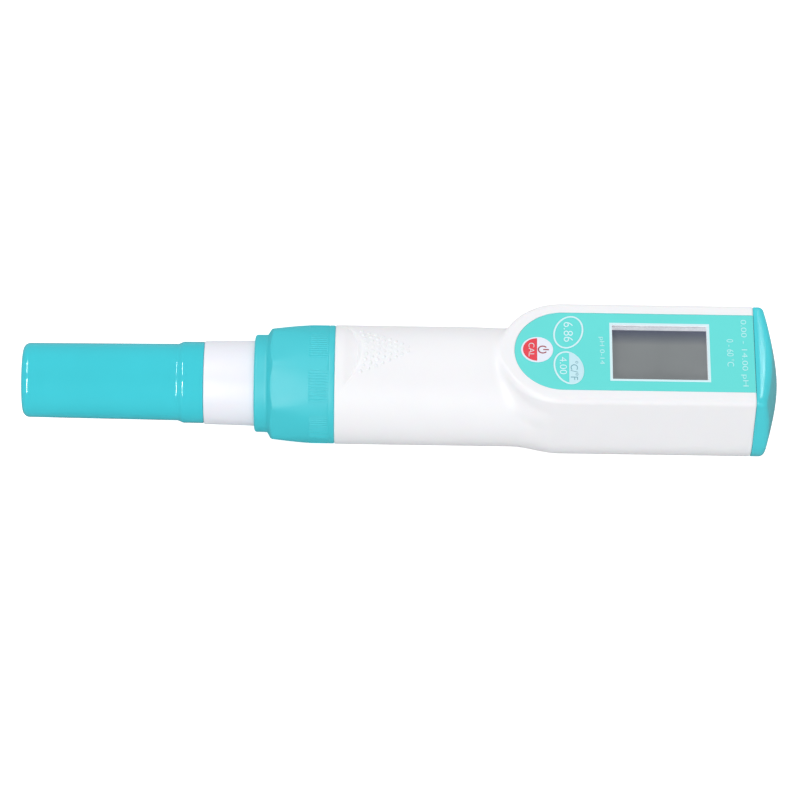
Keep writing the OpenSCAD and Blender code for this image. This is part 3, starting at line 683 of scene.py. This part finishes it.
def key_outlines(gap=0.0):
    """Outlines of the three keys, grown by a gap."""
    x, y, r, _ = key_place("power_key")
    found = [circle(x, y, r + gap)]
    for node, side in (("ph7_key", 1), ("ph4_key", -1)):
        x, y, _, _ = key_place(node)
        found.append(oval(x, y, OVAL_A + gap, OVAL_B + gap, side * (90 - OVAL_LEAN)))
    return found


def cut_face(shell):
    """Cuts the overlay's recess, the display opening and the key openings into the shell's face."""
    recess = overlay_outline(OVERLAY_W + 0.08, END_X + 3)
    cutters = [flat_piece("recess_cutter", [recess], FACE_TOP - 0.25, FACE_TOP + 3)]
    for i, outline in enumerate(key_outlines(0.1) + [window_outline(0.05)]):
        cutters.append(flat_piece(f"opening_cutter_{i}", [outline], AXIS_Z + 8, FACE_TOP + 2))
    for cutter in cutters:
        modifier = shell.modifiers.new("cut", "BOOLEAN")
        modifier.operation = "DIFFERENCE"
        modifier.solver = "EXACT"
        modifier.object = cutter
    graph = bpy.context.evaluated_depsgraph_get()
    data = bpy.data.meshes.new_from_object(shell.evaluated_get(graph))
    shell.modifiers.clear()
    shell.data = data
    shade(data, 30)
    for cutter in cutters:
        bpy.data.objects.remove(cutter)


def stud_rings(x, y):
    """Rings of a domed stud on the barrel, from its top down to the middle of its foot."""
    tilt = math.asin(y / BARREL_R)
    up = np.array([0, math.sin(tilt), math.cos(tilt)])
    side = np.array([0, math.cos(tilt), -math.sin(tilt)])
    sunk = 0.05
    foot = np.array([x, 0, AXIS_Z]) + (BARREL_R - sunk) * up
    around = np.linspace(0, 2 * math.pi, 14, endpoint=False)[:, None]
    rim = np.cos(around) * np.array([1, 0, 0]) + np.sin(around) * side
    rings = []
    for t in np.linspace(0, math.pi / 2, 5):
        rings.append(foot + STUD_R * math.sin(t) * rim + (STUD_H + sunk) * math.cos(t) * up)
    return np.array(rings + [foot + 0 * rim])


def grip_dots():
    """Small round studs in arcs behind the thumb notch, one fewer in each arc."""
    centre_x, first_arc_r, arc_step, pitch = BODY_X - 6.1, 14.0, 1.46, 1.62
    points, faces = [], []
    for row in range(8):
        arc_r = first_arc_r + arc_step * row
        count = 9 - row
        for place in range(count):
            angle = (place - (count - 1) / 2) * pitch / arc_r
            rings = stud_rings(centre_x + arc_r * math.cos(angle), arc_r * math.sin(angle))
            stud_faces = np.array(ring_faces(rings.shape[0], rings.shape[1], False)) + len(points)
            faces += stud_faces.tolist()
            points += rings.reshape(-1, 3).tolist()
    points = np.minimum(points, [math.inf, math.inf, SHELL_HIGH[2]])
    dots = mesh_object("grip_dots", points, faces, 80)
    return finish_piece(dots, "body", SHELL_WHITE, "white_plastic")


def thread_insert():
    """The insert with its real screw thread, which the collar turns on."""
    pitch, root, crest, bore = 2.0, 10.9, 11.6, 9.15
    x0, x1, flange_r = INSERT_LOW[0], INSERT_HIGH[0], INSERT_HIGH[1]
    flange_x = x1 - 2.55
    angles = np.linspace(0, 2 * math.pi, 120, endpoint=False)
    x = stations((x0, BODY_X - 0.3, 0.14))
    phase = ((x[:, None] - x0) / pitch - angles[None, :] / (2 * math.pi)) % 1.0
    tooth = np.clip((0.32 - np.abs(phase - 0.5)) / 0.14, 0, 1)
    ends = ease((x - x0 - 0.3) / 1.2) * ease((BODY_X - 0.6 - x) / 1.2)
    radius = root + (crest - root) * tooth * ends[:, None] - 0.4 * (1 - ease((x - x0) / 0.4))[:, None]
    outside = polar(x[:, None], radius, angles[None, :])
    rest = [(flange_x, root), (flange_x, flange_r), (x1, flange_r), (x1, bore), (x0, bore)]
    inside = [polar(x, np.full(angles.shape, r), angles) for x, r in rest]
    piece = skin("threaded_insert", np.concatenate([outside, inside]))
    return finish_piece(piece, "body", SHELL_WHITE, "white_plastic", "thread_insert")


# ---------- Face: overlay, print, keys ----------

def face_print(name, outlines, body="body", material=PRINT_WHITE, lift=0.03, base=FACE_TOP,
               slot="overlay_print"):
    """A thin printed patch on a surface at height base."""
    return finish_piece(flat_piece(name, outlines, base - 0.01, base + lift), body, material, slot)


def face_words(name, words, x, y, height, length, material=PRINT_WHITE, body="body", base=FACE_TOP,
               weight=0.0):
    """Printed words on a surface at height base."""
    piece = lettering(name, words, x, y, height, length, base - 0.01, base + 0.03, weight)
    return finish_piece(piece, body, material, "overlay_print")


def window_outline(gap):
    """The display window's outline, grown by a gap."""
    return rectangle(WINDOW_LOW[0] - gap, WINDOW_HIGH[0] + gap, WINDOW_HIGH[1] + gap)


def overlay():
    """The turquoise overlay with its display border and its print."""
    window = window_outline(0.05)
    outlines = [overlay_outline(OVERLAY_W, OVERLAY_HIGH[0]), window] + key_outlines(0.05)
    plate = flat_piece("printed_overlay", outlines, OVERLAY_LOW[2], FACE_TOP, 0.03)
    finish_piece(plate, "body", OVERLAY_TEAL, "overlay_print", "face_overlay")
    face_print("display_border", [window_outline(0.65), window])
    face_words("range_mark", "pH 0-14", WINDOW_LOW[0] - 2.7, 0.3, 1.5, 8.6, PRINT_FINE, weight=-0.006)
    face_words("title_line_1", "0.00 - 14.00 pH", END_X - 2.7, 0.2, 1.8, 21.0, PRINT_FINE, weight=-0.008)
    face_words("title_line_2", "0 - 60 °C", END_X - 6.0, 0.2, 1.7, 8.6, PRINT_FINE, weight=-0.008)


def display_well():
    """The pale side walls of the display opening, between the clear pane and the liquid crystal, with a
    painted glow that stands in for light on them.
    """
    bottom = span("lcd_glass")[1][2] + 0.02
    rings = [window_outline(0.045), window_outline(0.005)]
    walls = flat_piece("display_well", rings, bottom, FACE_TOP - 0.02)
    finish_piece(walls, "body", WELL, "white_plastic")


def power_key():
    """The round key: a pale half with a power symbol and a red half with the calibration mark."""
    body, slot = "power_button", "red_key"
    x, y, r, top = key_place("power_key")
    cap = flat_piece("power_key_cap", [circle(x, y, r + 0.03)], top - 0.6, top, 0.06)
    finish_piece(cap, body, PRINT_KEY, slot)
    red = cut_at(circle(x, y, r - 0.42), x, False)
    face_print("power_key_red_half", [red], body, PRINT_RED, 0.02, top, slot)
    face_words("power_key_cal", "CAL", x - 1.4, y - 0.1, 1.4, 4.3, PRINT_WHITE, body, top + 0.01, -0.014)
    ring_x, ring_r, stroke = x + 1.4, 1.25, 0.33
    opening = math.radians(38)
    sweep = np.linspace(opening, 2 * math.pi - opening, 40)
    ring = arc(ring_x, y, ring_r, sweep) + arc(ring_x, y, ring_r - stroke, sweep[::-1])
    face_print("power_key_ring", [ring], body, PRINT_MAROON, 0.02, top, slot)
    bar = [(px, py + y) for px, py in rectangle(ring_x + 0.1, ring_x + ring_r + 0.25, stroke / 2)]
    face_print("power_key_bar", [bar], body, PRINT_MAROON, 0.02, top, slot)
    key_stem("power_key_stem", body, PRINT_KEY, slot, "power_key")


def key_stem(name, body, material, slot, node):
    """The round stem under a key, standing for the CAD key together with its cap."""
    x, y, _, top = key_place(node)
    stem = flat_piece(name, [circle(x, y, 1.3, 48)], span(node)[0][2], top - 0.55, 0.1)
    finish_piece(stem, body, material, slot, node)


def buffer_key(side, node, body, words):
    """An oval key with a printed rim. The pH 4 key has a pale half with the unit marks."""
    x, y, _, top = key_place(node)
    lean = side * (90 - OVAL_LEAN)
    edge = oval(x, y, OVAL_A + 0.03, OVAL_B + 0.03, lean)
    cap = flat_piece(node + "_cap", [edge], top - 0.6, top, 0.06)
    finish_piece(cap, body, OVERLAY_TEAL, "overlay_print")
    rim = 0.43
    rings = [oval(x, y, OVAL_A, OVAL_B, lean), oval(x, y, OVAL_A - rim, OVAL_B - rim, lean)]
    face_print(node + "_rim", rings, body, PRINT_WHITE, 0.02, top)
    value = {"material": PRINT_WHITE, "body": body, "base": top, "weight": -0.01}
    if side > 0:
        face_words(node + "_value", words, x, y + 0.1, 2.3, 6.2, **value)
    else:
        split = x + 0.12
        pale = cut_at(oval(x, y, OVAL_A - 0.1, OVAL_B - 0.1, lean), split, True)
        face_print(node + "_unit_half", [pale], body, PRINT_PALE, 0.025, top)
        face_words(node + "_value", words, split - 1.45, y + 0.65, 1.75, 5.4, **value)
        face_words(node + "_units", "°C/°F", split + 1.3, y - 0.85, 1.9, 5.9, PRINT_GREY, body, top + 0.01)
    key_stem(node + "_stem", body, OVERLAY_TEAL, "overlay_print", node)


# ---------- Electrode and its cap ----------

def probe_cap():
    """The probe cap: a smooth tube with a rounded tip, which flares at its mouth."""
    x0, x1, r = CAP_LOW[0], CAP_HIGH[0], CAP_HIGH[1]
    tip_r, waist_r, bore_r, mouth_r = 9.3, 9.6, 7.9, 8.75
    flare_from, flare_to = x1 - 6.8, x1 - 5.0
    outside = [(x0, 0), (x0, tip_r - 4), (x0, tip_r, 1.75)]
    for t in np.linspace(0, 1, 17):
        outside.append((flare_from + (flare_to - flare_from) * t, waist_r + (r - 0.02 - waist_r) * ease(t)))
    mouth = [(x1, r, 0.35), (x1, mouth_r, 0.3), (x1 - 5.6, mouth_r, 0.2), (x1 - 5.6, bore_r, 0.2)]
    floor = [(x0 + 1.6, bore_r, 1.0), (x0 + 1.6, 0)]
    piece = lathe("probe_cap_skin", rounded(outside + mouth + floor, 10), 192, looped=False)
    return finish_piece(piece, "probe_cap", TEAL_GLOSS, "teal_gloss", "probe_cap")


def electrode_sleeve():
    """The white sleeve: neck with its O-ring groove, the ring that shows, flange and spigot."""
    x0, x1, flange_r = SLEEVE_LOW[0], SLEEVE_HIGH[0], SLEEVE_HIGH[1]
    ring_x, collar_x = x0 + 5, COLLAR_LOW[0]
    neck_r, front_r, back_r, spigot_r, bore_r = 8.6, 10.42, 10.67, 9.05, GUARD_HIGH[1] + 0.05
    flange_x = collar_x + 4.85
    spigot_x = flange_x + 2.2
    seat, cord = 0.9, 1.45

    def groove(x, r):
        floor = r - cord
        return [(x - seat, r, 0.08), (x - seat, floor, 0.15), (x + seat, floor, 0.15), (x + seat, r, 0.08)]

    corners = [(x0, bore_r, 0.1), (x0, neck_r, 0.4)] + groove(ring_x - 2.4, neck_r)
    corners += [(ring_x, neck_r, 0.2), (ring_x, front_r, 0.3), (collar_x, back_r), (flange_x, back_r, 0.2)]
    corners += [(flange_x, flange_r, 0.25), (spigot_x, flange_r, 0.25), (spigot_x, spigot_r, 0.2)]
    corners += groove(spigot_x + 4, spigot_r)
    corners += [(x1, spigot_r, 0.5), (x1, bore_r + 0.2, 0.15)]
    piece = lathe("electrode_sleeve_skin", rounded(corners, 5), 160)
    return finish_piece(piece, "electrode", RING_WHITE, "white_plastic", "electrode_sleeve")


def glass_bulb():
    """The thin bulb and stem, blown from one tube, so that they meet in a smooth neck."""
    bulb_r, stem_r, wall = BULB_HIGH[1], 2.5, 0.45
    centre = BULB_LOW[0] + bulb_r
    x1 = BULB_HIGH[0]

    def outline(inset):
        blown, tube = bulb_r - inset, stem_r - inset
        neck = centre + math.sqrt(blown ** 2 - tube ** 2)
        points = arc(centre, 0, blown, np.linspace(math.pi, math.pi * 0.28, 24))
        x_end, r_end = points[-1]
        for t in np.linspace(0.1, 1, 8):
            points.append((x_end + (neck + 2.2 - x_end) * t, r_end + (tube - r_end) * ease(t)))
        return points

    outside = outline(0) + [(x1, stem_r)]
    inside = [(x1, stem_r - wall)] + outline(wall)[::-1]
    piece = lathe("glass_bulb_and_stem", outside + inside, 72, looped=False)
    return finish_piece(piece, "electrode", THIN_GLASS, "glass", "glass_electrode")


# ---------- Locking collar ----------

def collar_radius(x, angles):
    """Outer radius of the collar: step ring, cone, flats that run out into the ribbed band, and rim."""
    length = BODY_X - COLLAR_LOW[0]
    s = x - COLLAR_LOW[0]
    step, band_from, band_to = 3.2, length - 6.5, length - 1.6
    rib_depth, line_depth, back_chamfer = 0.13, 0.08, 0.2
    local = (np.degrees(angles) + COLLAR_PHASE + 180 / FLATS) % (360 / FLATS) - 180 / FLATS
    apothem = 13.75 + 1.4 * np.clip((s - 4.6) / 10, 0, 1)
    flat = apothem / np.cos(np.radians(local))
    neighbour = apothem / np.cos(np.radians(360 / FLATS - np.abs(local)))
    cone = 12.25 + 1.65 * np.maximum(s - step, 0)
    flats = soft_min(flat, neighbour, 0.8)
    surface = soft_min(soft_min(cone, flats, 0.35), BARREL_R + 0 * flat, 0.8)
    ring_r, edge = 12.2, 0.7
    ring = ring_r - edge + np.sqrt(np.maximum(edge ** 2 - np.maximum(edge - s, 0) ** 2, 0))
    surface = np.where(s < step, ring, surface)
    grip = ease((s - band_from) / 0.4) * ease((band_to - s) / 0.3) * ease((GRIP_HALF - np.abs(local)) / 0.6)
    rib = 0.5 + 0.5 * np.cos(np.radians(local / GRIP_PITCH * 360 + 180))
    line = np.exp(-((s - band_to - 0.15) / 0.14) ** 2)
    back = ease((s - length + 0.35) / 0.35)
    return surface - rib_depth * grip * (1 - rib) - line_depth * line - back_chamfer * back


def collar():
    """The turquoise screw collar, with closer stations at its edges than on its plain stretches."""
    x0, x1 = COLLAR_LOW[0], BODY_X - 0.03
    angles = np.linspace(0, 2 * math.pi, 1080, endpoint=False)
    ring = [(x0, x0 + 0.8, 0.1), (x0 + 0.8, x0 + 3.2, 0.6)]
    cone = [(x0 + 3.2, x0 + 5.6, 0.12), (x0 + 5.6, x1 - 6.6, 0.9)]
    band = [(x1 - 6.6, x1 - 5.9, 0.14), (x1 - 5.9, x1 - 2.0, 0.8), (x1 - 2.0, x1 - 1.1, 0.09)]
    rim = [(x1 - 1.1, x1 - 0.4, 0.35), (x1 - 0.4, x1, 0.1)]
    x = stations(*ring, *cone, *band, *rim)
    outside = polar(x[:, None], collar_radius(x[:, None], angles[None, :]), angles[None, :])
    shoulder = x0 + 4.75
    bore = [(x1, 11.95), (x1 - 0.4, 11.7), (shoulder, 11.7)]
    bore += [(shoulder, 10.75), (x0 + 0.15, 10.75), (x0, 10.9)]
    inside = [polar(s, np.full(angles.shape, r), angles) for s, r in bore]
    piece = skin("locking_collar", np.concatenate([outside, inside]), sharp=60)
    return finish_piece(piece, "collar", TEAL_SATIN, "teal_satin", "lock_collar")


# ---------- Battery cap ----------

def section_ring(x, angles, inset, scale=1.0):
    """A ring of the head's section at an inset, shrunk towards the dome's middle by a scale."""
    radius = reach(lambda x, y, h: section_gap(y, h, inset), x, angles)
    y, h = radius * np.sin(angles), radius * np.cos(angles)
    return np.stack([x + 0 * y, y * scale, AXIS_Z + DOME_H + (h - DOME_H) * scale], axis=-1)


def dome_point(ring):
    """Moves a ring's points along X onto the dome."""
    away = np.hypot(ring[:, 1], ring[:, 2] - AXIS_Z - DOME_H)
    ring[:, 0] = END_HIGH[0] + DOME_SOFT - np.sqrt(DOME_SOFT ** 2 + (DOME_SLOPE * away) ** 2)
    return ring


def battery_cap():
    """The battery cap: a low dome with a rounded edge, and the hollow skirt that enters the head."""
    angles = turns()
    seam, skirt_x = END_X + 0.08, END_LOW[0]
    skirt, wall, edge = HEAD_WALL + 0.15, 1.4, 1.0
    rings = [section_ring(seam + x, angles, inset) for x, inset in ((0.0, 0.25), (0.1, 0.08), (0.3, 0.0))]
    side = dome_point(section_ring(seam, angles, 0.0, 1.0))
    for t in (0.35, 0.7, 1.0):
        ring = section_ring(seam, angles, 0.0)
        ring[:, 0] = seam + 0.3 + (side[:, 0] - edge - seam - 0.3) * t
        rings.append(ring)
    for turn in np.radians([18, 36, 54, 72, 90]):
        inset = edge * (1 - math.cos(turn))
        ring = dome_point(section_ring(seam, angles, inset))
        ring[:, 0] -= edge * (1 - math.sin(turn))
        rings.append(ring)
    for scale in (0.9, 0.8, 0.68, 0.55, 0.42, 0.3, 0.2, 0.12, 0.06, 0.02, 0.0):
        rings.append(dome_point(section_ring(seam, angles, edge, scale)))
    rings = inner_rings(angles, seam, skirt_x, skirt, wall) + rings
    piece = skin("battery_cap_shell", rings, False, 40)
    return finish_piece(piece, "battery_cap", TEAL_END, "teal_gloss", "end_cap")


def inner_rings(angles, seam, skirt_x, skirt, wall):
    """Rings from the middle of the cap's inner floor, out along the skirt and over its gasket groove."""
    floor_x = seam - 0.6
    groove_x0, groove_x1, groove_floor = END_X - 3.6, END_X - 1.8, skirt + 0.75
    rings = [section_ring(floor_x, angles, skirt + wall, s) for s in (0.0, 0.5, 1.0)]
    for x, inset in ((skirt_x, skirt + wall), (skirt_x, skirt + 0.2), (skirt_x + 0.2, skirt),
                     (groove_x0, skirt), (groove_x0, groove_floor),
                     (groove_x1, groove_floor), (groove_x1, skirt), (seam, skirt)):
        rings.append(section_ring(x, angles, inset))
    return rings


# ---------- Finishes for the CAD nodes that stay ----------

KEPT_NODES = [
    (BLACK_RUBBER, ["cap_oring", "electrode_oring", "collar_gasket", "end_gasket"]),
    (SPONGE, ["cap_sponge"]),
    (CLEAR_PLASTIC, ["electrode_barrel"]),
    (WINDOW_CLEAR, ["display_window"]),
    (CERAMIC, ["junction_ring"]),
    (SILVER, ["silver_wire", "reference_wire"]),
    (STEEL, ["temperature_probe", "tray_screws", "board_screws", "button_cells", "cell_spring"]),
    (STEEL, ["switch_bodies", "crystal_can"]),
    (GOLD, ["plug_pins", "socket_contacts", "battery_leaves", "cell_plate"]),
    (WIRE_RED, ["signal_wires", "sensor_leads"]),
    (BOARD, ["main_board"]),
    (ZEBRA, ["zebra_strips"]),
    (DISPLAY, ["lcd_glass"]),
    (LIGHT_PLASTIC, ["lcd_frame", "carrier_frame"]),
    (BLACK_PLASTIC, ["plug_block", "socket_block", "potting_disc", "battery_tray"]),
    (BLACK_PLASTIC, ["power_plunger", "ph7_plunger", "ph4_plunger", "main_chip", "amplifier_chips"]),
]


def finish_kept_nodes():
    """Gives the CAD nodes that no piece stands for their finishes."""
    for material, names in KEPT_NODES:
        for name in names:
            data = frame["nodes"][name].data
            for i in range(len(data.materials)):
                data.materials[i] = material


# ---------- Stage: floor, lights and camera ----------

def floor():
    """A wide pale floor whose surface the meter rests on."""
    side = 3.0
    data = bpy.data.meshes.new("floor")
    corners = [(-side, -side, 0), (side, -side, 0), (side, side, 0), (-side, side, 0)]
    data.from_pydata(corners, [], [(0, 1, 2, 3)])
    obj = link("floor", data)
    data.materials.append(floor_material())
    obj.location.z = -0.0002


def area_light(name, width, height, power):
    light = bpy.data.lights.new(name, "AREA")
    light.shape = "RECTANGLE"
    light.size, light.size_y = width, height
    light.energy = power
    return link(name, light)


def softbox(name, place, width, height, power):
    """An area light that faces the meter's middle, without showing in its shiny faces."""
    obj = area_light(name, width, height, power)
    obj.location = place
    obj.rotation_euler = (-Vector(place)).to_track_quat("-Z", "Y").to_euler()
    obj.visible_glossy = False


def side_strip(name, x, elevation, width, height, power, only_mirrored=False):
    """A tall strip at an elevation seen along the meter's axis, which lights it or shows in its gloss."""
    radius = 0.85
    turn = math.radians(elevation)
    place = Vector((x, -radius * math.cos(turn), radius * math.sin(turn)))
    facing = (place - Vector((0, 0, AXIS_Z * MM))).normalized()
    around = Vector((0, math.sin(turn), math.cos(turn)))
    across = around.cross(facing).normalized()
    along = facing.cross(across)
    obj = area_light(name, width, height, power)
    obj.matrix_world = Matrix.Translation(place) @ Matrix((across, along, facing)).transposed().to_4x4()
    obj.visible_diffuse = not only_mirrored
    obj.visible_glossy = only_mirrored


def sky():
    """An even white surround that shows more weakly in shiny faces."""
    world = bpy.data.worlds.new("studio")
    bpy.context.scene.world = world
    world.use_nodes = True
    tree = world.node_tree
    background = tree.nodes["Background"]
    background.inputs["Color"].default_value = (0.98, 0.985, 1.0, 1)
    path = tree.nodes.new("ShaderNodeLightPath")
    level = tree.nodes.new("ShaderNodeMapRange")
    level.inputs["To Min"].default_value = 0.66
    level.inputs["To Max"].default_value = 0.24
    tree.links.new(path.outputs["Is Glossy Ray"], level.inputs["Value"])
    tree.links.new(level.outputs["Result"], background.inputs["Strength"])


def lights():
    """Two softboxes, three strips beside the meter, and three strips seen only as glints."""
    softbox("front", (0, -1.3, 0.75), 1.4, 0.5, 7.6)
    softbox("back", (0, 1.2, 0.8), 1.4, 0.5, 7.2)
    side_strip("left_high", -0.75, 95, 0.3, 0.72, 0.75)
    side_strip("left_low", -0.75, 40, 0.3, 0.7, 1.2)
    side_strip("right_low", 0.75, 50, 0.3, 0.6, 0.5)
    side_strip("left_glint_high", -0.36, 95, 0.1, 0.66, 6.0, True)
    side_strip("left_glint_low", -0.36, 34, 0.1, 0.70, 9.0, True)
    side_strip("patch_glint", 0.165, 126, 0.03, 0.03, 0.06, True)


def camera():
    """The photograph's view: over the near side, with a long lens and a slight roll."""
    elevation, roll = math.radians(52.4), math.radians(0.86)
    distance, sensor = 1.15, 36.0
    pixels_per_mm, picture_side = 3.986, 800
    aim_x, aim_drop = 0.00012, 0.00366
    back = Vector((0, -math.cos(elevation), math.sin(elevation)))
    level_up = Vector((0, math.sin(elevation), math.cos(elevation)))
    level_right = Vector((1, 0, 0))
    right = level_right * math.cos(roll) + level_up * math.sin(roll)
    up = level_up * math.cos(roll) - level_right * math.sin(roll)
    data = bpy.data.cameras.new("camera")
    data.sensor_width = sensor
    data.lens = pixels_per_mm / MM * sensor * distance / picture_side
    data.clip_start, data.clip_end = 0.05, 20
    aim = Vector((aim_x, 0, AXIS_Z * MM)) - level_up * aim_drop
    rotation = Matrix((right, up, back)).transposed()
    obj = link("camera", data)
    obj.matrix_world = Matrix.Translation(aim + back * distance) @ rotation.to_4x4()
    bpy.context.scene.camera = obj


body_shell()
grip_dots()
thread_insert()
overlay()
display_well()
power_key()
buffer_key(1, "ph7_key", "ph7_button", "6.86")
buffer_key(-1, "ph4_key", "ph4_button", "4.00")
probe_cap()
electrode_sleeve()
glass_bulb()
collar()
battery_cap()
finish_kept_nodes()
floor()
sky()
lights()
camera()
bpy.context.scene.view_settings.view_transform = "Standard"
